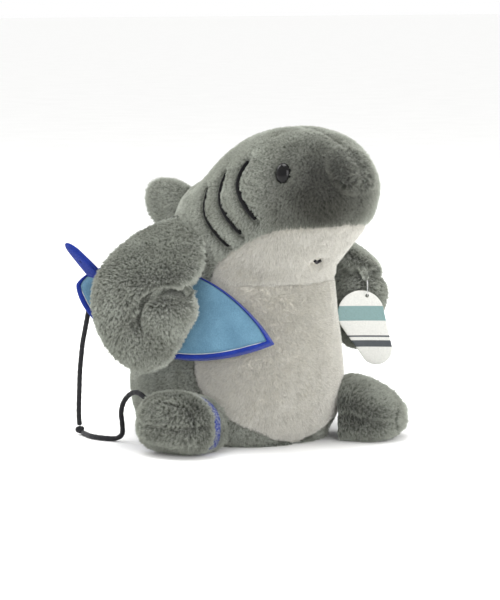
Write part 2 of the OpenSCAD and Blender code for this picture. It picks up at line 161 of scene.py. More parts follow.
def new_mesh(name, points, faces, material, pile_share=None):
    corners = [int(k) for face in faces for k in face]
    used, index = np.unique(corners, return_inverse=True)
    ends = np.cumsum([len(face) for face in faces])[:-1]
    mesh = bpy.data.meshes.new(name)
    mesh.from_pydata(points[used].tolist(), [], [part.tolist() for part in np.split(index, ends)])
    mesh.validate()
    mesh.materials.append(material)
    mesh.shade_smooth()
    piece = bpy.data.objects.new(name, mesh)
    bpy.context.scene.collection.objects.link(piece)
    if pile_share is not None:
        group = piece.vertex_groups.new(name="pile")
        for k, share in enumerate(pile_share[used]):
            group.add([k], float(share), "REPLACE")
    return piece


# Points closer than this become one
WELD_DISTANCE = 0.00002


def weld(piece):
    """Joins the points that lie together at a pole."""
    modifier = piece.modifiers.new("weld", "WELD")
    modifier.merge_threshold = WELD_DISTANCE


def finish_piece(piece, slot_name, body, *nodes):
    """Hides the CAD nodes that a piece stands for, and attaches it to the body that it rides on; slot_name
    is not used.
    """
    if nodes:
        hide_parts(*nodes)
    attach(piece, body)


# ---- cloth ----

CLOTH_FRAMES = 20
CLOTH_PRESSURE = 4
CLOTH_STEP = 2
CLOTH_GROWTH = 0.02
CLOTH_STIFFNESS = 30
CLOTH_BENDING = 2


def stuffed(grid, cap):
    """The grid as pressure from inside leaves it, each point moved by no more than cap.

    A coarser copy is simulated, and the way each of its points moves is spread over the full grid.
    """
    coarse = grid[::CLOTH_STEP, ::CLOTH_STEP]
    rows, columns = coarse.shape[:2]
    points = coarse.reshape(-1, 3)
    faces = outward(points, grid_faces(rows, columns))
    caps = [list(range(columns)), [(rows - 1) * columns + j for j in range(columns)]]
    mesh = bpy.data.meshes.new("cloth")
    mesh.from_pydata(points.tolist(), [], faces.tolist() + caps)
    cloth = bpy.data.objects.new("cloth", mesh)
    bpy.context.scene.collection.objects.link(cloth)
    modifier = cloth.modifiers.new("cloth", "CLOTH")
    settings = modifier.settings
    settings.use_pressure = True
    settings.uniform_pressure_force = CLOTH_PRESSURE
    settings.effector_weights.gravity = 0
    settings.shrink_min = -CLOTH_GROWTH
    settings.tension_stiffness = settings.compression_stiffness = CLOTH_STIFFNESS
    settings.bending_stiffness = CLOTH_BENDING
    modifier.point_cache.frame_end = CLOTH_FRAMES
    for step in range(1, CLOTH_FRAMES + 1):
        bpy.context.scene.frame_set(step)
    done = cloth.evaluated_get(bpy.context.evaluated_depsgraph_get()).to_mesh()
    moved = np.empty(len(points) * 3)
    done.vertices.foreach_get("co", moved)
    moved = moved.reshape(-1, 3) - points
    bpy.context.scene.frame_set(1)
    bpy.data.objects.remove(cloth)
    length = np.linalg.norm(moved, axis=1, keepdims=True)
    moved *= np.tanh(length / cap) * cap / np.maximum(length, 1e-9)
    moved = moved.reshape(rows, columns, 3)
    row = np.linspace(0, rows - 1, grid.shape[0])
    low = np.minimum(row.astype(int), rows - 2)
    part = (row - low)[:, None, None]
    fine_rows = moved[low] * (1 - part) + moved[low + 1] * part
    column = np.arange(grid.shape[1]) * columns / grid.shape[1]
    left = column.astype(int) % columns
    part = (column - column.astype(int))[None, :, None]
    return grid + fine_rows[:, left] * (1 - part) + fine_rows[:, (left + 1) % columns] * part


# ---- materials ----

WHITE = (255, 255, 255)


def linear(colour):
    """An 8-bit colour as the numbers that a shader takes."""
    c = np.array(colour) / 255
    return (*np.where(c < 0.04045, c / 12.92, ((c + 0.055) / 1.055) ** 2.4), 1)


class Shader:
    """A material and the short calls that build its nodes."""

    def __init__(self, name, roughness, **sockets):
        self.material = bpy.data.materials.new(name)
        self.material.use_nodes = True
        self.tree = self.material.node_tree
        self.shader = self.tree.nodes["Principled BSDF"]
        self.shader.inputs["Roughness"].default_value = roughness
        for socket, value in sockets.items():
            self.shader.inputs[socket.replace("_", " ")].default_value = value
        self.place = self.tree.nodes.new("ShaderNodeTexCoord").outputs["Object"]

    def node(self, kind, **values):
        node = self.tree.nodes.new("ShaderNode" + kind)
        for key, value in values.items():
            setattr(node, key, value)
        return node

    def link(self, source, target):
        self.tree.links.new(source, target)

    def noise(self, scale, detail, roughness):
        node = self.node("TexNoise")
        node.inputs["Scale"].default_value = scale
        node.inputs["Detail"].default_value = detail
        node.inputs["Roughness"].default_value = roughness
        self.link(self.place, node.inputs["Vector"])
        return node.outputs["Fac"]

    def ramp(self, value, stops):
        node = self.node("ValToRGB")
        elements = node.color_ramp.elements
        while len(elements) < len(stops):
            elements.new(0.5)
        for element, (position, colour) in zip(elements, stops):
            element.position = position
            element.color = linear(colour)
        self.link(value, node.inputs["Fac"])
        return node.outputs["Color"]

    def multiply(self, first, second, amount):
        node = self.node("Mix", data_type="RGBA", blend_type="MULTIPLY")
        node.inputs["Factor"].default_value = amount
        self.link(first, node.inputs["A"])
        self.link(second, node.inputs["B"])
        return node.outputs["Result"]

    def near(self, centre, reach, colour):
        """A colour round a point that fades to white at reach."""
        away = self.node("VectorMath", operation="DISTANCE")
        away.inputs[1].default_value = centre
        self.link(self.place, away.inputs[0])
        scale = self.node("Math", operation="DIVIDE")
        scale.inputs[1].default_value = reach
        self.link(away.outputs["Value"], scale.inputs[0])
        return self.ramp(scale.outputs["Value"], [(0.25, colour), (1.0, WHITE)])

    def colour(self, value):
        self.link(value, self.shader.inputs["Base Color"])

    def relief(self, height, distance, strength=1.0):
        node = self.node("Bump")
        node.inputs["Strength"].default_value = strength
        node.inputs["Distance"].default_value = distance
        self.link(height, node.inputs["Height"])
        self.link(node.outputs["Normal"], self.shader.inputs["Normal"])


# Painted shade on the snout's pile: where it is darkest, how far it reaches, and its colour
SNOUT_PAINTED_SHADE_AT = (-0.028, -0.156, 0.232)
SNOUT_PAINTED_SHADE_REACH = 0.068
SNOUT_PAINTED_SHADE_COLOUR = (142, 140, 136)


def plush_skin(name, dark, light, grain, depth, patchiness=1.0):
    """The surface under and between the pile, patchy at two scales."""
    s = Shader(name, 0.95, Sheen_Weight=0.25, Sheen_Roughness=0.6, Specular_IOR_Level=0.15)
    fine = s.ramp(s.noise(grain, 4, 0.7), [(0.36, dark), (0.64, light)])
    patch = s.ramp(s.noise(45, 2, 0.5), [(0.3, (232, 232, 230)), (0.7, WHITE)])
    s.colour(s.multiply(fine, patch, patchiness))
    s.relief(s.noise(grain * 0.8, 3, 0.7), depth, 0.9)
    return s.material


def pile(name, root, middle, tip, patchiness, painted_shade=False):
    """The strands: dark at the root, light at the tip, and each one a little different.

    On the snout, painted shade darkens the strands' colour round a point.
    """
    s = Shader(name, 0.75, Specular_IOR_Level=0.2, Sheen_Weight=0.2)
    info = s.node("HairInfo")
    along = s.ramp(info.outputs["Intercept"], [(0.0, root), (0.55, middle), (1.0, tip)])
    each = s.ramp(info.outputs["Random"], [(0.0, (176, 176, 174)), (0.5, (228, 228, 226)), (1.0, WHITE)])
    patch = s.ramp(s.noise(40, 3, 0.6), [(0.3, (216, 216, 213)), (0.7, WHITE)])
    colour = s.multiply(s.multiply(along, each, 0.8), patch, patchiness)
    # Painted shade: the strands darken round a point on the snout
    if painted_shade:
        colour = s.multiply(colour, s.near(SNOUT_PAINTED_SHADE_AT, SNOUT_PAINTED_SHADE_REACH, SNOUT_PAINTED_SHADE_COLOUR), 1.0)
    s.colour(colour)
    return s.material


def felt(name, dark, light, depth=0.00025, sheen=0.3):
    s = Shader(name, 0.95, Sheen_Weight=sheen, Sheen_Roughness=0.5, Specular_IOR_Level=0.15)
    fibres = s.noise(1500, 4, 0.75)
    colour = s.ramp(fibres, [(0.34, dark), (0.66, light)])
    patch = s.ramp(s.noise(60, 2, 0.5), [(0.3, (224, 228, 232)), (0.7, WHITE)])
    s.colour(s.multiply(colour, patch, 1.0))
    s.relief(fibres, depth)
    return s.material


def black_felt():
    return felt("black_fabric", (7, 7, 8), (24, 24, 25), sheen=0.05)


def braid():
    s = Shader("black_cord", 0.85, Sheen_Weight=0.15, Specular_IOR_Level=0.25)
    s.colour(s.ramp(s.noise(1800, 3, 0.7), [(0.35, (10, 10, 12)), (0.7, (42, 42, 46))]))
    s.relief(s.noise(2200, 2, 0.6), 0.0002)
    return s.material


def eye_gloss():
    s = Shader("eye_gloss", 0.05, Specular_IOR_Level=0.22)
    s.colour(s.ramp(s.noise(300, 2, 0.5), [(0.3, (4, 4, 5)), (0.7, (12, 11, 11))]))
    s.relief(s.noise(900, 2, 0.4), 0.00001, 0.3)
    return s.material


# A height on the card times this is a place on the ramp of its bands, which runs from 0 to 1
CARD_RAMP_PER_METRE = 5


def card():
    """White card with a faint paper grain, and plain bands of colour in place of any print."""
    s = Shader("tag_card", 0.42, Specular_IOR_Level=0.45)
    paper = s.ramp(s.noise(900, 3, 0.6), [(0.3, (196, 196, 191)), (0.7, (216, 216, 211))])
    teal, slate = (142, 178, 182), (74, 80, 88)
    height = s.node("SeparateXYZ")
    s.link(s.place, height.inputs["Vector"])
    scale = s.node("Math", operation="MULTIPLY")
    scale.inputs[1].default_value = CARD_RAMP_PER_METRE
    s.link(height.outputs["Z"], scale.inputs[0])
    bands = s.ramp(scale.outputs["Value"], [
        (0.0, WHITE), (0.405, slate), (0.435, WHITE), (0.450, slate), (0.460, WHITE),
        (0.530, teal), (0.600, WHITE)])
    bands.node.color_ramp.interpolation = "CONSTANT"
    s.colour(s.multiply(paper, bands, 1.0))
    s.relief(s.noise(1200, 2, 0.5), 0.00004)
    return s.material


def nylon():
    s = Shader("clear_nylon", 0.25, Transmission_Weight=0.6, IOR=1.5)
    s.colour(s.ramp(s.noise(700, 2, 0.5), [(0.3, (224, 226, 226)), (0.7, (244, 245, 245))]))
    return s.material


def floor_paper():
    s = Shader("floor", 0.9, Specular_IOR_Level=0.1)
    s.colour(s.ramp(s.noise(8, 2, 0.5), [(0.3, (249, 249, 248)), (0.7, (252, 252, 251))]))
    return s.material


def make_materials():
    return {
        "grey": plush_skin("grey_plush", (84, 87, 80), (158, 162, 152), 900, 0.0012),
        # The grey pile carries painted shade on the snout
        "grey_pile": pile("grey_pile", (86, 89, 82), (150, 154, 145), (222, 226, 216), 1.0, True),
        "white_pile": pile("white_pile", (234, 231, 222), (244, 242, 234), (250, 248, 242), 0.1),
        "white": plush_skin("white_plush", (214, 210, 200), (228, 224, 214), 1500, 0.0006, 0.12),
        "black": black_felt(),
        "light_blue": felt("light_blue_fabric", (70, 106, 128), (104, 142, 163)),
        "royal": felt("royal_blue_fabric", (16, 32, 104), (34, 58, 150), sheen=0.1),
        "cord": braid(),
        "eye": eye_gloss(),
        "card": card(),
        "nylon": nylon(),
    }


# ---- pile ----

# A strand is this many times as long as its growth factors say
HAIR_LENGTH_PER_GROWTH = 4
STRANDS_PER_GUIDE = 14


def grow_pile(piece, material, length, per_square_mm, lean, seed):
    """Strands over a piece, leaning along the vector lean. They are fine hair, not part of the mesh.

    Where the piece has a vertex group called pile, it sets how long they are and how many there are.
    """
    piece.data.materials.append(material)
    area = sum(p.area for p in piece.data.polygons) * 1e6
    modifier = piece.modifiers.new("pile", "PARTICLE_SYSTEM")
    system = modifier.particle_system
    system.seed = seed
    if "pile" in piece.vertex_groups:
        system.vertex_group_density = "pile"
        system.vertex_group_length = "pile"
    hair = system.settings
    hair.type = "HAIR"
    hair.use_advanced_hair = True
    hair.count = max(200, int(area * per_square_mm))
    hair.hair_step = 3
    hair.render_step = 3
    hair.emit_from = "FACE"
    hair.distribution = "RAND"
    hair.use_even_distribution = True
    growth = length / HAIR_LENGTH_PER_GROWTH
    hair.normal_factor = growth
    hair.object_align_factor = [growth * v for v in lean]
    hair.factor_random = growth * 0.28
    hair.length_random = 0.25
    hair.child_type = "INTERPOLATED"
    hair.rendered_child_count = STRANDS_PER_GUIDE
    hair.child_percent = 0
    hair.clump_factor = 0.12
    hair.roughness_1 = 0.0004
    hair.roughness_1_size = 0.004
    hair.roughness_2 = 0.0010
    hair.roughness_endpoint = 0.0006
    hair.root_radius = 1.0
    hair.tip_radius = 0.35
    hair.radius_scale = 0.00017
    hair.material = 2


# Which way the strands lean, as shares of their length
GREY_LEAN = (0.0, 0.25, -0.45)
WHITE_LEAN = (0.0, -0.05, -0.45)
# Length of the strands, and guide strands per square millimetre
GREY_LENGTH, GREY_GUIDES = 0.0062, 0.60
WHITE_LENGTH, WHITE_GUIDES = 0.0034, 0.50


def plush_cloth(name, node, points, faces, pile_share, materials, seed, lean=GREY_LEAN, white=False):
    """A padded cloth with its pile, standing for its panel and for the filling behind it."""
    kind = "white" if white else "grey"
    piece = new_mesh(name, points, faces, materials[kind], pile_share)
    weld(piece)
    if white:
        grow_pile(piece, materials["white_pile"], WHITE_LENGTH, WHITE_GUIDES, WHITE_LEAN, seed)
    else:
        grow_pile(piece, materials["grey_pile"], GREY_LENGTH, GREY_GUIDES, lean, seed)
    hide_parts(node, *FILLING.get(node, ()))
    return piece


# ---- body skin ----

# Sections from the seat to the snout: front [y, z], back [y, z], half width
SKIN = np.array([
    [-80, 3.3, 94, 3.3, 73.1], [-94, 20, 106, 20, 82.5], [-102, 48, 112, 54, 85],
    [-104, 80, 108, 96, 80.8], [-102, 108, 97, 136, 74.8], [-99, 130, 78, 174, 70.6],
    [-95, 146, 50, 216, 67.2],
    [-97, 156, 36, 235, 67], [-107, 166, 22, 244, 67], [-119, 178, 0, 258, 66.3],
    [-132, 191, -26, 274, 65], [-145, 203, -55, 287, 61.6], [-156, 215, -87, 292, 52.9],
    [-165, 228, -120, 289, 40.9], [-171, 241, -148, 278, 24.8]]) * MM
NOSE = np.array([0, -172, 260]) * MM
SECTION_POWER = 2.2
FIRST_HEAD_SECTION = 7
NECK = 6.5
SKIN_ROWS = 168
SNOUT_ROWS = 14
SKIN_COLUMNS = 200
SKIN_ANGLES = 270 - 360 * np.arange(SKIN_COLUMNS) / SKIN_COLUMNS
BODY_CAP = 0.0022
SEAM_SMOOTHING = 14
# How far the white reaches round from the front, in degrees, by section number
WHITE_REACH = [(0, 0), (0.18, 10), (0.42, 20), (1.08, 39), (1.68, 54), (2.2, 66), (2.7, 70), (4.2, 68),
               (5.75, 71), (6.93, 64), (8.32, 60), (9.3, 56), (10.1, 50), (10.7, 43), (11.1, 34),
               (11.5, 23), (11.75, 12), (11.9, 0)]
# Height of the fold across the throat
NECK_FOLD = 0.1515
# How far the cloth lies inside the CAD skin, so that the pile's tips reach it
GREY_INSET = 0.0030
WHITE_INSET = 0.0008


def section_points(s, angle, out=0.0):
    """Points of one section at angles in degrees from +X towards the back, moved out."""
    front, back = s[0:2], s[2:4]
    mid, half = (front + back) / 2, np.linalg.norm(back - front) / 2
    c, d = np.cos(np.radians(angle)), np.sin(np.radians(angle))
    k = (np.abs(c) ** SECTION_POWER + np.abs(d) ** SECTION_POWER) ** (-1 / SECTION_POWER)
    across = (s[4] + out) * c * k
    along = mid + (back - mid) * ((half + out) / half * d * k)[:, None]
    return np.column_stack([across, along])


def head_point(share, angle, out=0.0):
    s = spline_at(SKIN[FIRST_HEAD_SECTION:], share)[0]
    return section_points(s, np.atleast_1d(angle), out)[0]


EYE_AT = np.array([-50.7, -127, 255.2]) * MM
STITCH_AT = np.array([0, -112.9, 172.2]) * MM
GILL = np.array([[0.597, 156], [0.478, 175], [0.428, 205.5]])
GILL_STEP = np.array([-0.155, -1])
GILL_STEPS = 48


def gill_track(number):
    return spline_at(GILL + number * GILL_STEP, np.linspace(0, 1, GILL_STEPS))


def mirrored(point):
    return point * np.array([-1, 1, 1])


def face_dents(points):
    """How far in each point of the body goes, for eye sockets, mouth, nose pinch and creases."""
    depth = np.zeros(len(points))
    for eye in (EYE_AT, mirrored(EYE_AT)):
        away = np.linalg.norm(points - eye, axis=1)
        depth += 0.0014 * bump(away, 0.0125)
    offset = points - STITCH_AT
    away = np.sqrt((offset[:, 0] / 1.6) ** 2 + offset[:, 1] ** 2 + offset[:, 2] ** 2)
    depth += 0.0020 * bump(away, 0.0080)
    offset = points - NOSE
    away = np.linalg.norm(offset, axis=1)
    around = np.arctan2(offset[:, 2], offset[:, 0])
    depth += 0.0022 * bump(away, 0.010)
    depth += 0.0005 * np.cos(9 * around) * bump(away - 0.013, 0.007)
    return depth


# How far ahead of a slit its lip lies, as a share of the head's profile
GILL_LIP = 0.035
# How near a slit the pile is cut short
GILL_BARE = 0.0058


def gill_line(number, ahead=0.0):
    """Points along a right-hand slit, or along a line ahead of it."""
    return np.array([head_point(share + ahead, angle) for share, angle in gill_track(number)])


def line_distance(points, line):
    return np.min(np.linalg.norm(points[:, None] - line[None], axis=2), axis=1)


def gill_dents(points):
    """Each slit lies in a groove, with a lip of fabric in front of it."""
    depth = np.zeros(len(points))
    for number in range(3):
        for flip in (1, -1):
            depth += 0.0012 * bump(line_distance(points, gill_line(number) * (flip, 1, 1)), 0.0045)
            depth -= 0.0018 * bump(line_distance(points, gill_line(number, GILL_LIP) * (flip, 1, 1)), 0.0050)
    return depth


def pile_kept(points):
    """How much pile each point of the body keeps: none at the eyes and gills, little at the mouth."""
    share = np.ones(len(points))
    for eye in (EYE_AT, mirrored(EYE_AT)):
        share *= 1 - bump(np.linalg.norm(points - eye, axis=1), 0.0075)
    share *= 1 - 0.9 * bump(np.linalg.norm(points - STITCH_AT, axis=1), 0.007)
    for number in range(3):
        for flip in (1, -1):
            share *= 1 - bump(line_distance(points, gill_line(number) * (flip, 1, 1)), GILL_BARE)
    return np.clip(share, 0, 1)


def body_labels(section, angle):
    """Which panel each face of the body skin belongs to."""
    reach = np.interp(section, *zip(*WHITE_REACH))
    from_front = np.abs((angle - 270 + 180) % 360 - 180)
    white = from_front < reach
    right = np.cos(np.radians(angle)) < 0
    head = section > NECK
    return np.select(
        [white & ~head, white & head, head & right, head, right],
        ["belly_panel", "jaw_panel", "head_panel_right", "head_panel_left", "back_panel_right"],
        "back_panel_left")


def seam_points(faces, labels):
    """Points where faces of different panels meet, and for each its neighbours along the seam."""
    edges = {}
    for face, label in zip(faces, labels):
        for k in range(4):
            a, b = int(face[k]), int(face[(k + 1) % 4])
            edges.setdefault((min(a, b), max(a, b)), []).append(label)
    neighbours = {}
    for (a, b), found in edges.items():
        if len(found) == 2 and found[0] != found[1]:
            neighbours.setdefault(a, []).append(b)
            neighbours.setdefault(b, []).append(a)
    return neighbours


WHITE_PANELS = ("belly_panel", "jaw_panel")
# The filling behind each cloth, which nothing shows and the cloth stands for
FILLING = {
    "belly_panel": ("torso_stuffing", "seat_bead_bag", "neck_stuffing"),
    "jaw_panel": ("head_stuffing",),
    "right_arm_inner_panel": ("right_arm_stuffing",),
    "left_arm_inner_panel": ("left_arm_stuffing",),
    "fin_panel_right": ("fin_stuffing",),
    "right_leg_lower_panel": ("right_leg_stuffing",),
    "left_leg_lower_panel": ("left_leg_stuffing",),
}


def body_grid():
    """The body's rings from the seat to the tip of the snout, and each ring's section number."""
    sections = np.linspace(0, len(SKIN) - 1, SKIN_ROWS)
    rows = [section_points(s, SKIN_ANGLES) for s in spline_at(SKIN, sections / (len(SKIN) - 1))]
    rows += rounded_end(rows[-1], NOSE, SNOUT_ROWS)
    sections = np.concatenate([sections, np.full(SNOUT_ROWS, len(SKIN) - 1.0)])
    return stuffed(np.array(rows), BODY_CAP), sections


def face_labels(points, faces, sections):
    """Each face's panel, from its section and its angle round the body."""
    row = np.minimum(faces.min(1) // SKIN_COLUMNS, len(sections) - 2)
    column = faces % SKIN_COLUMNS
    angle = SKIN_ANGLES[column].mean(1)
    wraps = column.max(1) - column.min(1) > 1
    angle[wraps] = 270 - 180 / SKIN_COLUMNS
    angle[wraps & (points[faces].mean(1)[:, 0] > 0)] = 270 + 180 / SKIN_COLUMNS
    return body_labels((sections[row] + sections[row + 1]) / 2, angle)


def smooth_seams(points, neighbours):
    """Evens out the steps of each seam, which follows the grid."""
    inner = [k for k in neighbours if len(neighbours[k]) == 2]
    beside = np.array([neighbours[k] for k in inner])
    for _ in range(SEAM_SMOOTHING):
        points[inner] = (points[inner] * 2 + points[beside[:, 0]] + points[beside[:, 1]]) / 4


def throat_fold(points):
    """The fold across the throat, with a soft lip above it."""
    chin = np.clip((-0.055 - points[:, 1]) / 0.02, 0, 1)
    height = points[:, 2] - NECK_FOLD
    return (0.0030 * bump(height, 0.0022) - 0.0012 * bump(height - 0.007, 0.005)) * chin


def body_depth(points, normals, away, white):
    """How far each point goes in: under the pile, at seams (away is how far they are), folds and dents."""
    inset = np.where(white, WHITE_INSET + (GREY_INSET - WHITE_INSET) * bump(away, 0.004), GREY_INSET)
    inset[: SKIN_COLUMNS * 3] = 0.0004
    depth = inset + 0.0010 * bump(away, 0.0035) + face_dents(points) + gill_dents(points)
    depth += throat_fold(points)
    spine = (points[:, 1] - NOSE[1] > 0.012) & (normals[:, 2] > 0.1) & ~white
    depth += 0.0012 * bump(points[:, 0], 0.003) * spine
    depth -= 0.0006 * waves(points, 0.055, 3)
    depth[: SKIN_COLUMNS * 2] = 0
    return depth


def make_body(materials):
    grid, sections = body_grid()
    points = grid.reshape(-1, 3)
    faces = outward(points, grid_faces(len(grid), SKIN_COLUMNS))
    labels = face_labels(points, faces, sections)
    white_faces = np.isin(labels, WHITE_PANELS)
    cuts = np.where(white_faces, "white", np.char.rpartition(labels, "_")[:, 2])
    neighbours = seam_points(faces, cuts)
    smooth_seams(points, neighbours)
    away = nearest_distance(points, points[list(neighbours)])
    white = np.zeros(len(points), bool)
    white[faces[white_faces].ravel()] = True
    normals = vertex_normals(points, faces)
    kept = pile_kept(points)
    points = points - normals * body_depth(points, normals, away, white)[:, None]
    for node in np.unique(labels).tolist():
        name = node.replace("panel", "cloth")
        piece = plush_cloth(name, node, points, faces[labels == node], kept, materials,
                            seed=len(name) + 3, white=node in WHITE_PANELS)
        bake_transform(piece)


# Each ring of the seat from its rim in: share of the rim, and height in millimetres
SEAT_RINGS = [(1.0, 3.3), (0.985, 1.5), (0.96, 0.6), (0.92, 0.25), (0.7, 0.2), (0.4, 0.2), (0.01, 0.2)]


def make_seat(materials):
    """The seat's cloth, flat where it rests on the floor and rounded up to the sides."""
    rim = section_points(SKIN[0], SKIN_ANGLES)
    middle = rim.mean(0)
    rows = []
    for share, height in SEAT_RINGS:
        row = middle + (rim - middle) * share
        row[:, 2] = height * MM
        rows.append(row)
    points = np.array(rows).reshape(-1, 3)
    faces = outward(points, grid_faces(len(rows), SKIN_COLUMNS))
    piece = new_mesh("seat_cloth", points, faces, materials["grey"])
    weld(piece)
    finish_piece(piece, "grey_plush", "torso", "seat_panel")


# ---- face ----

# A slit is a rolled strip: how wide, how far its edges lie in the pile and its crest stands up
GILL_WIDTH = 0.0104
GILL_SINK = -0.0042
GILL_RISE = 0.0044
# A metre across the strip is this much of the head's profile
GILL_SHARE = 5.5
GILL_ROLL = np.radians(np.linspace(0, 180, 11))


def make_gills(materials):
    for side, turn in (("right", 1), ("left", -1)):
        points, faces = [], []
        for number in range(3):
            track = gill_track(number)
            start = len(points)
            for k, (share, angle) in enumerate(track):
                f = k / (GILL_STEPS - 1)
                half = GILL_WIDTH / 2 * min(1.0, 0.30 + 1.1 * f) * min(1.0, 0.30 + 9 * (1 - f))
                for turned in GILL_ROLL:
                    across = -math.cos(turned) * half * GILL_SHARE
                    rise = GILL_SINK + (GILL_RISE - GILL_SINK) * math.sin(turned) * (0.75 + 0.25 * f)
                    points.append(head_point(share + across, angle, rise) * (turn, 1, 1))
            count = len(GILL_ROLL)
            for k in range(GILL_STEPS - 1):
                for e in range(count - 1):
                    a = start + k * count + e
                    faces.append([a, a + 1, a + count + 1, a + count][::turn])
            faces.append([start + e for e in range(count)][::-turn])
            faces.append([start + (GILL_STEPS - 1) * count + e for e in range(count)][::turn])
        piece = new_mesh(f"gill_{side}", np.array(points), faces, materials["black"])
        finish_piece(piece, "black_fabric", "head", f"gill_slits_{side}")


EYE_TURN = math.radians(200)
EYE_LIFT = math.radians(6)
EYE_SIZE = np.array([19, 15]) * MM
EYE_DEPTH = 0.0050
EYE_SINK = 0.0016


def make_eyes(materials):
    out = np.array([math.cos(EYE_TURN) * math.cos(EYE_LIFT), math.sin(EYE_TURN) * math.cos(EYE_LIFT),
                    math.sin(EYE_LIFT)])
    side_axis = np.cross([0, 0, 1], out)
    side_axis /= np.linalg.norm(side_axis)
    up = np.cross(out, side_axis)
    columns, rows = 48, 14
    angle = 2 * np.pi * np.arange(columns) / columns
    for side, turn in (("right", 1), ("left", -1)):
        grid = []
        for rise in np.linspace(-35, 89, rows):
            c, s = math.cos(math.radians(rise)), math.sin(math.radians(rise))
            across = EYE_SIZE[1] / 2 * c * np.cos(angle)
            along = EYE_SIZE[0] / 2 * c * np.sin(angle)
            ring = EYE_AT + np.outer(across, side_axis) + np.outer(along, up)
            grid.append(ring + out * (EYE_DEPTH * s - EYE_SINK))
        points = np.array(grid).reshape(-1, 3) * (turn, 1, 1)
        faces = outward(points, grid_faces(rows, columns))
        piece = new_mesh(f"eye_bead_{side}", points, faces, materials["eye"])
        weld(piece)
        finish_piece(piece, "eye_gloss", "head", f"eye_{side}", f"eye_washer_{side}")


def tube(path, radius, sides, ribs=0.0):
    """Rings round a path, closed at both ends by a small ring, with a braid's rise and fall."""
    path = np.asarray(path, float)
    along = np.gradient(path, axis=0)
    along /= np.linalg.norm(along, axis=1, keepdims=True)
    side = np.cross(along, [0.97, 0.17, 0.17])
    side /= np.linalg.norm(side, axis=1, keepdims=True)
    up = np.cross(along, side)
    angle = 2 * np.pi * np.arange(sides) / sides
    travel = np.concatenate([[0], np.cumsum(np.linalg.norm(np.diff(path, axis=0), axis=1))])
    rings = []
    for k, centre in enumerate(path):
        turn = travel[k] / radius * 1.1
        r = radius * (1 + ribs * np.sin(3 * angle + turn) * np.sin(3 * angle - turn))
        rings.append(centre + np.outer(r * np.cos(angle), side[k]) + np.outer(r * np.sin(angle), up[k]))
    rings.insert(0, path[0] + (rings[0] - path[0]) * 0.05)
    rings.append(path[-1] + (rings[-1] - path[-1]) * 0.05)
    points = np.array(rings).reshape(-1, 3)
    faces = grid_faces(len(rings), sides)
    a, b = points[faces[:, 1]] - points[faces[:, 0]], points[faces[:, 3]] - points[faces[:, 0]]
    middle = np.repeat(np.vstack([path[:1], path]), sides, axis=0)
    if np.sum(np.cross(a, b) * (points[faces].mean(1) - middle)) < 0:
        faces = faces[:, ::-1]
    return points, faces


# The thread's middle lies a little way out from the cloth, along the jaw's normal
STITCH_OUT = np.array([0, -0.0007, -0.0007])


def make_stitch(materials):
    """The mouth's V of thick thread, lying in its dimple on the slope of the jaw."""
    slope = np.array([0, -math.sin(math.radians(45)), math.cos(math.radians(45))])
    path = []
    for x in np.linspace(-3.6, 3.6, 25):
        path.append(STITCH_AT + np.array([x, 0, 0]) * MM + slope * abs(x) * 0.75 * MM)
    points, faces = tube(np.array(path) + STITCH_OUT, 0.0015, 10, 0.12)
    piece = new_mesh("mouth_thread", points, faces, materials["cord"])
    finish_piece(piece, "black_thread", "head", "mouth_stitch")


# ---- arms and fin ----

ARM_THICKNESS = 0.046
ARM_CAP = 0.0012
ARM_CENTRE = np.array([5, 2]) * MM
# The notch at the paw's last point is where the paw folds up against the upper arm
PAW_OUTLINE = [[-42, -4], [-33, -27], [-16, -45], [5, -53], [27, -46], [43, -25], [58, 0],
               [56, 13], [48, 21], [40, 24]]
RIGHT_ARM_OUTLINE = np.array(
    PAW_OUTLINE + [[53, 31], [57, 42], [50, 56], [33, 72], [5, 77.5], [-27, 62], [-41, 28]]) * MM
LEFT_ARM_OUTLINE = np.array(
    PAW_OUTLINE + [[47, 30], [47, 37], [40, 48], [24, 60], [3, 64], [-25, 54], [-40, 27]]) * MM
ARM_FORWARD = np.array([0.445, -0.895, 0])
ARM_OUT = np.array([-0.895, -0.445, 0])
RIGHT_ARM_AT = np.array([-132, -17, 130]) * MM
LEFT_ARM_AT = np.array([-126.8, -15.9, 130]) * MM
FIN_OUTLINE = np.array([
    [64, -3], [41, 11], [18, 17], [-6.2, 16], [-6.4, -6], [-4.6, -31], [28, -35], [53, -34], [68, -20]]) * MM
FIN_CENTRE = np.array([36, -6]) * MM
FIN_AT = np.array([0, 71, 200]) * MM
FIN_THICKNESS = 0.022
FIN_INSET = 0.002
FIN_CAP = 0.001
PILLOW_ROWS = 26
PILLOW_COLUMNS = 128

BOARD_AT = np.array([-97, -27, 123.5]) * MM
BOARD_TURNS = Matrix.Rotation(math.radians(-63.6), 3, "Z") @ Matrix.Rotation(math.radians(12), 3, "Y") \
    @ Matrix.Rotation(math.radians(72), 3, "X")
BOARD_AXES = np.array(BOARD_TURNS)
BOARD_LENGTH, BOARD_WIDTH, BOARD_THICKNESS = 0.204, 0.080, 0.013
ARM_TO_BOARD = 0.0006


# Heights on the arm, above and below which it is free of the board
BOARD_HEAD, BOARD_FOOT = 0.044, -0.050
# Further in than any face of a pillow
FREE = -1.0


def board_stop(p):
    """How far out the board's outer face lies behind points of the right arm's middle layer."""
    normal = BOARD_AXES[:, 2]
    face = BOARD_AT + normal * (BOARD_THICKNESS / 2 + ARM_TO_BOARD)
    height = np.maximum(p[:, 1], BOARD_FOOT)
    reach = (face - RIGHT_ARM_AT) @ normal - p[:, 0] * (ARM_FORWARD @ normal) - height * normal[2]
    return np.where(p[:, 1] > BOARD_HEAD, FREE, reach / (ARM_OUT @ normal))


def no_stop(p):
    return np.full(len(p), FREE)


def no_bend(y):
    return np.zeros(len(y))


def no_fold(p, face):
    return np.zeros(len(p))


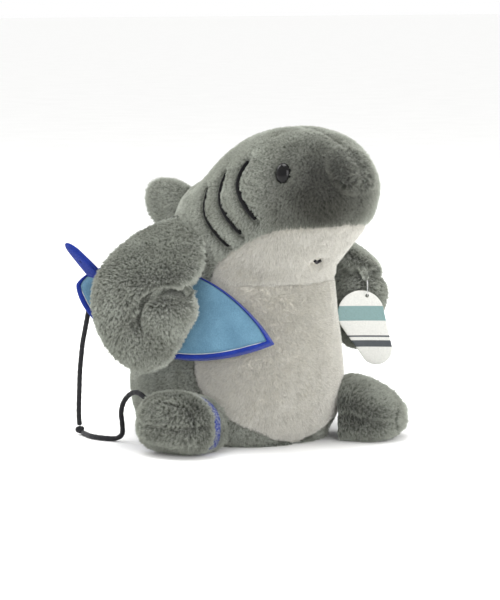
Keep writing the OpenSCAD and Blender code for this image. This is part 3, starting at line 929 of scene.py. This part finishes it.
def pillow(at, axes, outline, centre, thickness, bend, stop, crease):
    """A stuffed shape of two faces, as one grid from the middle of its inner face to its outer one.

    The second result is how much of its pile each point of the grid keeps, which is little in a fold.
    """
    forward, up, out = axes
    ring = closed_spline(outline, PILLOW_COLUMNS)
    rows, folds = [], []
    for face in (-1, 1):
        steps = np.linspace(0.5, PILLOW_ROWS, PILLOW_ROWS) / PILLOW_ROWS
        for f in (steps if face < 0 else steps[::-1][1:]):
            share = math.sin(math.pi / 2 * f)
            p = centre + (ring - centre) * share
            h = face * thickness / 2 * (1 - share ** 2.6) ** 0.55 + bend(p[:, 1])
            fold = crease(p, face)
            h = h - face * fold
            folds.append(fold)
            if face < 0:
                h = np.maximum(h, stop(p))
            rows.append(at + np.outer(p[:, 0], forward) + np.outer(p[:, 1], up) + np.outer(h, out))
    pile_share = np.clip(1 - np.array(folds) / FOLD_DEPTH, SHORTEST_PILE, 1)
    return np.array(rows), pile_share


ARM_ELBOW = 0.018


def arm_bend(lean):
    """A function for how far out an arm's middle layer lies: above the elbow it leans in."""
    def bend(y):
        return -lean * np.maximum(0, y - ARM_ELBOW) ** 2
    return bend


# The paw is a round lobe that folds up over the arm: its middle, and how far out the fold lies
PAW_AT = np.array([37, -3]) * MM
PAW_RADIUS = 0.0235
FOLD_DEPTH = 0.0095
SHORTEST_PILE = 0.3


def paw_fold(p, face):
    """The fold round the paw's upper side and the lobe inside it, on the outer face only."""
    if face < 0:
        return np.zeros(len(p))
    offset = p - PAW_AT
    away = np.linalg.norm(offset, axis=1)
    turn = np.degrees(np.arctan2(offset[:, 1], offset[:, 0])) % 360
    window = np.clip((turn - 35) / 30, 0, 1) * np.clip((225 - turn) / 70, 0, 1)
    return FOLD_DEPTH * bump(away - PAW_RADIUS, 0.0042) * window - 0.0035 * bump(away, 0.0150)


SEAM_DEPTH, SEAM_WIDTH = 0.0012, 0.0035


def sewn(points, faces, seam, inset=GREY_INSET):
    """Moves the cloth in by inset, draws it in along a seam, and adds the soft rise and fall of filling."""
    away = nearest_distance(points, seam)
    normals = vertex_normals(points, faces)
    depth = inset + SEAM_DEPTH * bump(away, SEAM_WIDTH) - 0.0005 * waves(points, 0.04, 8)
    return points - normals * depth[:, None]


def make_pillow(names, nodes, shape, flip, body, materials, seeds, cap, lean, inset=GREY_INSET):
    """Both cloths of a stuffed shape. The first name is the inner face, the second the outer one."""
    grid, pile_share = shape
    grid = stuffed(grid, cap) * (flip, 1, 1)
    points = grid.reshape(-1, 3)
    faces = outward(points, grid_faces(len(grid), PILLOW_COLUMNS))
    points = sewn(points, faces, grid[PILLOW_ROWS - 1], inset)
    inner = faces.min(1) // PILLOW_COLUMNS < PILLOW_ROWS - 1
    for name, node, part, seed in zip(names, nodes, (inner, ~inner), seeds):
        piece = plush_cloth(name, node, points, faces[part], pile_share.ravel(), materials, seed, lean)
        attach(piece, body)


def make_arms(materials):
    axes = (ARM_FORWARD, np.array([0, 0, 1]), ARM_OUT)
    for side, at, outline, flip, lean, stop, seed in (
            ("right", RIGHT_ARM_AT, RIGHT_ARM_OUTLINE, 1, 23, board_stop, 21),
            ("left", LEFT_ARM_AT, LEFT_ARM_OUTLINE, -1, 28.5, no_stop, 31)):
        shape = pillow(at, axes, outline, ARM_CENTRE, ARM_THICKNESS, arm_bend(lean), stop, paw_fold)
        make_pillow(
            [f"{side}_arm_inner_cloth", f"{side}_arm_outer_cloth"],
            [f"{side}_arm_inner_panel", f"{side}_arm_outer_panel"],
            shape, flip, f"{side}_arm", materials, (seed, seed + 1), ARM_CAP, (0.1 * flip, -0.15, -0.5))


def make_fin(materials):
    axes = (np.array([0, 0.86, 0.51]), np.array([0, -0.51, 0.86]), np.array([1, 0, 0]))
    shape = pillow(FIN_AT, axes, FIN_OUTLINE, FIN_CENTRE, FIN_THICKNESS, no_bend, no_stop, no_fold)
    make_pillow(["fin_cloth_right", "fin_cloth_left"], ["fin_panel_right", "fin_panel_left"], shape, 1,
                "dorsal_fin", materials, (41, 42), FIN_CAP, (0, 0.45, 0.1), FIN_INSET)


# ---- legs ----

LEG_WIDTH = 0.072
RIGHT_LEG = ([-0.895, -0.445, 0], [[94, 0.44, 2.2, 48], [105, 0.45, 2.2, 50], [119, 0.46, 2.2, 53],
             [135, 0.485, 6.5, 57], [147, 0.39, 14, 51]], [155, 32])
LEFT_LEG = ([0.64, -0.768, 0], [[99.5, 0.45, 0, 56], [112, 0.48, 0, 56], [128, 0.48, 0, 50],
            [141, 0.435, 4, 42], [150, 0.31, 9, 33]], [155, 20])
LEG_ROWS = 34
TOE_ROWS = 10
LEG_COLUMNS = 112
UNDER_POWER, TOP_POWER = 3.5, 2.2


def leg_ring(direction, s, out=0.0):
    across = np.array([-direction[1], direction[0], 0])
    angle = 2 * np.pi * np.arange(LEG_COLUMNS) / LEG_COLUMNS
    c, d = np.cos(angle), -np.sin(angle)
    n = np.where(d < 0, UNDER_POWER, TOP_POWER)
    k = (np.abs(c) ** n + np.abs(d) ** n) ** (-1 / n)
    low, high = s[2] * MM, s[3] * MM
    width = (LEG_WIDTH * s[1] + out) * c * k
    height = (low + high) / 2 + ((high - low) / 2 + out) * d * k
    points = np.outer(np.full(LEG_COLUMNS, s[0] * MM), direction) + np.outer(width, across)
    points[:, 2] += height
    return points


# Where the band starts along the leg's sections, and how much of them its 13 mm cover
CUFF_FROM = 0.36
CUFF_SHARE = 13 * 0.0175
# How much of its pile the leg keeps over the band
PILE_AT_CUFF = 0.85
LEG_FLOOR, CUFF_FLOOR = 0.0004, 0.0003
LEG_CAP = 0.001


def cuff_section(sections, share):
    """The leg's section at a share of the band's width."""
    return spline_at(sections, CUFF_FROM + CUFF_SHARE * share)[0]


def make_leg(side, leg, materials, seed):
    direction, sections, tip = np.array(leg[0]), np.array(leg[1], float), leg[2]
    rows = [leg_ring(direction, s) for s in spline_at(sections, np.linspace(0, 1, LEG_ROWS))]
    toe = direction * tip[0] * MM + np.array([0, 0, tip[1] * MM])
    rows += rounded_end(rows[-1], toe, TOE_ROWS)
    grid = stuffed(np.array(rows), LEG_CAP)
    grid[..., 2] = np.maximum(grid[..., 2], LEG_FLOOR)
    points = grid.reshape(-1, 3)
    faces = outward(points, grid_faces(len(grid), LEG_COLUMNS))
    points = sewn(points, faces, np.concatenate([grid[:, 0], grid[:, LEG_COLUMNS // 2]]))
    points[:, 2] = np.maximum(points[:, 2], LEG_FLOOR)
    pile_share = np.ones(len(points))
    if side == "right":
        start, end = (cuff_section(sections, share)[0] * MM for share in (0, 1))
        along = (points @ direction - start) / (end - start)
        pile_share = np.clip(np.abs(along - 0.5) * 4 - 1.6, PILE_AT_CUFF, 1)
    column = faces % LEG_COLUMNS
    wraps = (column.min(1) == 0) & (column.max(1) == LEG_COLUMNS - 1)
    under = (column.max(1) <= LEG_COLUMNS // 2) & ~wraps
    lean = tuple(direction * 0.35 + np.array([0, 0, -0.1]))
    for half, part, k in (("lower", under, 0), ("upper", ~under, 1)):
        piece = plush_cloth(f"{side}_leg_{half}_cloth", f"{side}_leg_{half}_panel", points, faces[part],
                            pile_share, materials, seed + k, lean)
        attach(piece, f"{side}_leg")


# Across the band: share of its width, and millimetres out from the leg
CUFF_PROFILE = [(0, -3), (0.02, 1.2), (0.1, 1.9), (0.3, 1.6), (0.5, 1.7), (0.7, 1.6), (0.9, 1.9),
                (0.98, 1.2), (1, -3)]


def make_cuff(materials):
    """The band round the right ankle, with rolled edges and a slight give in its height."""
    direction, sections = np.array(RIGHT_LEG[0]), np.array(RIGHT_LEG[1], float)
    rows = [leg_ring(direction, cuff_section(sections, share), out * MM) for share, out in CUFF_PROFILE]
    points = np.array(rows).reshape(-1, 3)
    points[:, 2] = np.maximum(points[:, 2], CUFF_FLOOR)
    faces = outward(points, grid_faces(len(rows), LEG_COLUMNS))
    piece = new_mesh("ankle_band", points, faces, materials["royal"])
    finish_piece(piece, "royal_blue_fabric", "right_leg", "ankle_cuff")


# ---- surfboard ----

def board_share(t):
    return np.where(t > 0, (1 - np.abs(t) ** 1.85) ** 0.95, (1 - np.abs(t) ** 2.6) ** 0.7)


UPPER_PIPING, LOWER_PIPING = 0.0016, 0.0050
# How many times the outline's points near the nose are averaged with their neighbours
NOSE_ROUNDING = 14


def board_ring(inset, count=180):
    """The board's outline moved in, from the nose round the upper edge to the tail and back."""
    angle = 2 * np.pi * (np.arange(count) + 0.5) / count
    t = np.cos(angle)
    y = np.sign(np.sin(angle)) * (BOARD_WIDTH - 2 * inset) / 2 * board_share(t)
    ring = np.column_stack([(BOARD_LENGTH - 3 * inset) / 2 * t, y])
    near_nose = 0.5 * np.clip((t[:, None] - 0.80) / 0.12, 0, 1)
    for _ in range(NOSE_ROUNDING):
        ring = ring * (1 - near_nose) + (np.roll(ring, 1, 0) + np.roll(ring, -1, 0)) / 2 * near_nose
    return ring


def board_edge(share):
    """The outline moved in by a share of the piping's width, which is wider along the lower edge."""
    thin, wide = board_ring(UPPER_PIPING * share), board_ring(LOWER_PIPING * share)
    upper = np.clip(0.5 + thin[:, 1:] / 0.02, 0, 1)
    return thin * upper + wide * (1 - upper)


def on_board(p):
    return BOARD_AT + np.asarray(p) @ BOARD_AXES.T


def ring_surface(name, rows, material, slot_name, node):
    points = on_board(np.array(rows).reshape(-1, 3))
    faces = grid_faces(len(rows), len(rows[0]))
    piece = new_mesh(name, points, faces, material)
    finish_piece(piece, slot_name, "right_arm", node)
    return piece


def make_board(materials):
    half = BOARD_THICKNESS / 2
    for name, side, colour, slot_name, node in (
            ("board_face_cloth", 1, "light_blue", "light_blue_fabric", "board_outer_face"),
            ("board_back_cloth", -1, "royal", "royal_blue_fabric", "board_inner_face")):
        rows = []
        rim = board_edge(1)
        for share in np.concatenate([[1.0, 0.985], np.linspace(0.97, 0.01, 30)]):
            p = rim * share
            crown = 0.0010 * (1 - share ** 2) - 0.0012 * bump(1 - share, 0.02)
            ripple = 0.00025 * waves(np.column_stack([p, p[:, 0] * 0]), 0.05, 5)
            z = side * (half - 0.0004 + crown + ripple)
            rows.append(np.column_stack([p, z]))
        rows = rows if side > 0 else [row[::-1] for row in rows]
        weld(ring_surface(name, rows, materials[colour], slot_name, node))
    rows = []
    for step in range(25):
        angle = math.radians(-90 + 360 * step / 24)
        c, s = math.cos(angle), math.sin(angle)
        inward = 0.5 - 0.5 * math.copysign(abs(c) ** 0.6, c)
        z = half * math.copysign(abs(s) ** 0.55, s)
        edge = board_edge(inward)
        rows.append(np.column_stack([edge, np.full(len(edge), z)]))
    ring_surface("board_piping", rows[::-1], materials["royal"], "royal_blue_fabric", "board_edging")
    make_skeg(materials)


SKEG_OUTLINE = np.array([
    [10, 0], [4, 14], [-6, 30], [-16, 44], [-24, 46], [-26, 38], [-20, 20], [-12, 0]]) * MM
SKEG_AT = np.array([-78, 10]) * MM
SKEG_LEAN = math.radians(26)
SKEG_THICKNESS = 0.006
SKEG_GAP = 0.0009


def make_skeg(materials):
    """The skeg is a small stuffed fin of its own, sewn round its edge."""
    outline = np.concatenate([
        SKEG_OUTLINE[-1:], SKEG_OUTLINE[:1], spline_at(SKEG_OUTLINE, np.arange(1, 40) / 40)])
    centre = outline.mean(0)
    base = np.array([*SKEG_AT, BOARD_THICKNESS / 2 + SKEG_GAP + SKEG_THICKNESS / 2 * math.sin(SKEG_LEAN)])
    lean = np.array(Matrix.Rotation(math.pi / 2 - SKEG_LEAN, 3, "X"))
    rows = []
    for face in (-1, 1):
        steps = np.linspace(0.04, 1, 12)
        for f in (steps if face < 0 else steps[::-1][1:]):
            share = math.sin(math.pi / 2 * f)
            p = centre + (outline - centre) * share
            rise = SKEG_THICKNESS / 2 * (1 - share ** 3) ** 0.5
            rise -= 0.0008 * float(bump(share - 0.86, 0.05))
            rows.append(base + np.column_stack([p, np.full(len(p), face * rise)]) @ lean.T)
    points = on_board(np.array(rows).reshape(-1, 3))
    faces = outward(points, grid_faces(len(rows), len(outline)))
    piece = new_mesh("skeg_cloth", points, faces, materials["royal"])
    weld(piece)
    finish_piece(piece, "royal_blue_fabric", "skeg", "board_skeg")


# ---- leash ----

LEASH_UPPER = np.array([
    [-140.3, 47.3, 123.7], [-140.5, 50, 114], [-139.5, 55, 103], [-138, 61, 91], [-137, 65, 78],
    [-136, 69, 62], [-134, 73, 46], [-132, 77, 30], [-130, 80, 18], [-128, 82, 10]]) * MM
LEASH_LOWER = np.array([
    [-128, 76, 2.6], [-130, 68, 2.6], [-132, 58, 2.6], [-131, 48, 2.6], [-127, 38, 2.6], [-122, 30, 3.2],
    [-119, 25, 8], [-119, 25, 18], [-120, 25, 28], [-120, 21, 38], [-119, 13, 46], [-119, 3, 49.5],
    [-119, -7, 48], [-118.4, -16, 43], [-116.7, -23.6, 39.8]]) * MM
CORD_DIAMETER = 0.0046
KNOT_AT = np.array([-128, 81, 4.6]) * MM
# The lower cord's last steps lie in a short sleeve of the cuff's cloth
SLEEVE_STEPS = 15


def make_leash(materials):
    upper = spline_at(LEASH_UPPER, np.linspace(0, 1, 150))
    lower = spline_at(LEASH_LOWER, np.linspace(0, 1, 230))
    for name, path, far_end, node, bodies in (
            ("leash_upper_cord", upper, "knot", "leash_upper", ("right_arm", "torso")),
            ("leash_lower_cord", lower, "object", "leash_lower", ("torso", "right_leg"))):
        points, faces = tube(path, CORD_DIAMETER / 2, 24, 0.07)
        piece = new_mesh(name, points, faces, materials["cord"])
        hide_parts(node)
        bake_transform(piece)
    points, faces = tube(lower[-SLEEVE_STEPS:], CORD_DIAMETER * 0.82, 24)
    piece = new_mesh("leash_sleeve", points, faces, materials["royal"])
    finish_piece(piece, "royal_blue_fabric", "right_leg")
    turn = np.linspace(0, 2 * np.pi, 160)
    knot = np.column_stack([
        np.sin(turn) + 2 * np.sin(2 * turn), np.cos(turn) - 2 * np.cos(2 * turn), -np.sin(3 * turn)])
    points, faces = tube(KNOT_AT + knot * (0.00085, 0.00085, 0.0013) + (0, 0, 0.0004), 0.0021, 16, 0.07)
    piece = new_mesh("leash_tie", points, faces, materials["cord"])
    finish_piece(piece, "black_cord", "torso", "leash_knot")


# ---- swing tag ----

TAG_SEAM = np.array([101, -66, 140]) * MM
TAG_TURN = math.radians(232)
LOOP_DIAMETER = 0.014
CARD_THICKNESS = 0.0008


def tag_frame():
    """The loop's centre, and the tag's axes: out of the seam, across, and up."""
    out = np.array([math.cos(TAG_TURN), math.sin(TAG_TURN), 0])
    across = np.array([-math.sin(TAG_TURN), math.cos(TAG_TURN), 0])
    centre = TAG_SEAM + out * (LOOP_DIAMETER / 2 - 0.001) + np.array([0, 0, -0.003])
    return centre, out, across


def card_outline(count=120):
    """The hull of the card's two round ends, found as the furthest point each way."""
    angle = 2 * np.pi * np.arange(count) / count
    way = np.column_stack([np.cos(angle), np.sin(angle)])
    ends = [(np.array([-6, -17]) * MM, 0.022), (np.array([9, -51]) * MM, 0.015)]
    reach = np.stack([way @ centre + radius for centre, radius in ends])
    pick = reach.argmax(0)
    return np.array([ends[k][0] + ends[k][1] * w for k, w in zip(pick, way)])


def make_tag(materials):
    centre, out, across = tag_frame()
    top = centre - np.array([0, 0, LOOP_DIAMETER / 2])
    outline = card_outline()
    hole_angle = np.arctan2(outline[:, 1], outline[:, 0])
    hole = 0.0017 * np.column_stack([np.cos(hole_angle), np.sin(hole_angle)])
    rows = []
    half = CARD_THICKNESS / 2
    for side in (-1, 1):
        shares = np.concatenate([[0.0, 0.02], np.linspace(0.08, 0.985, 16), [1.0]])
        for f in (shares if side < 0 else shares[::-1]):
            p = hole * (1 - f) + outline * f
            curl = 0.0016 * (p[:, 0] / 0.025) ** 2 - 0.0014 * (p[:, 1] / 0.066) ** 2
            z = curl + side * half * (1 if f < 0.99 else 0.35)
            rows.append(top + np.outer(p[:, 0], across) + np.outer(p[:, 1], [0, 0, 1]) + np.outer(z, out))
    rows.append(rows[0])
    points = np.array(rows).reshape(-1, 3)
    piece = new_mesh("tag_sheet", points, grid_faces(len(rows), len(outline)), materials["card"])
    weld(piece)
    finish_piece(piece, "tag_card", "tag", "tag_card")
    turn = np.linspace(0, 2 * np.pi * 0.995, 72)
    loop = centre + LOOP_DIAMETER / 2 * (np.outer(np.cos(turn), out) + np.outer(np.sin(turn), [0, 0, 1]))
    points, faces = tube(loop, 0.0005, 10)
    piece = new_mesh("tag_loop", points, faces, materials["nylon"])
    finish_piece(piece, "clear_nylon", "left_arm", "tag_fastener")


# ---- inner pieces and the room ----

def dress_foam_core():
    """The board's foam core keeps its CAD shape, with a material of its own."""
    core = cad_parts["board_foam_core"]
    core.data.materials.clear()
    core.data.materials.append(felt("board_foam", (222, 220, 212), (242, 240, 234), 0.0005))


# Name, place, size and power in watts of each light
LIGHTS = [
    ("key", (-0.3, 0.1, 2.3), 1.5, 44), ("front", (-0.5, -2.2, 0.7), 1.4, 25),
    ("side", (1.9, -0.6, 1.1), 1.4, 14), ("rim", (-0.6, 1.8, 1.5), 1.2, 14)]
FLOOR_SIZE = 60


def make_room():
    bpy.ops.mesh.primitive_plane_add(size=FLOOR_SIZE)
    floor = bpy.context.object
    floor.name = "floor"
    floor.data.materials.append(floor_paper())
    world = bpy.data.worlds.new("world")
    bpy.context.scene.world = world
    world.use_nodes = True
    world.node_tree.nodes["Background"].inputs["Color"].default_value = (1, 1, 1, 1)
    world.node_tree.nodes["Background"].inputs["Strength"].default_value = 1.0
    for name, place, size, power in LIGHTS:
        data = bpy.data.lights.new(name, "AREA")
        data.size, data.energy = size, power
        light = bpy.data.objects.new(name, data)
        bpy.context.scene.collection.objects.link(light)
        light.location = place
        light.rotation_euler = (Vector((0, 0, 0.15)) - Vector(place)).to_track_quat("-Z", "Y").to_euler()
    bpy.context.scene.view_settings.view_transform = "Standard"


make_camera()
materials = make_materials()
make_leash(materials)
make_body(materials)
make_seat(materials)
make_gills(materials)
make_eyes(materials)
make_stitch(materials)
make_arms(materials)
make_fin(materials)
make_leg("right", RIGHT_LEG, materials, 51)
make_leg("left", LEFT_LEG, materials, 61)
make_cuff(materials)
make_board(materials)
make_tag(materials)
dress_foam_core()
make_room()
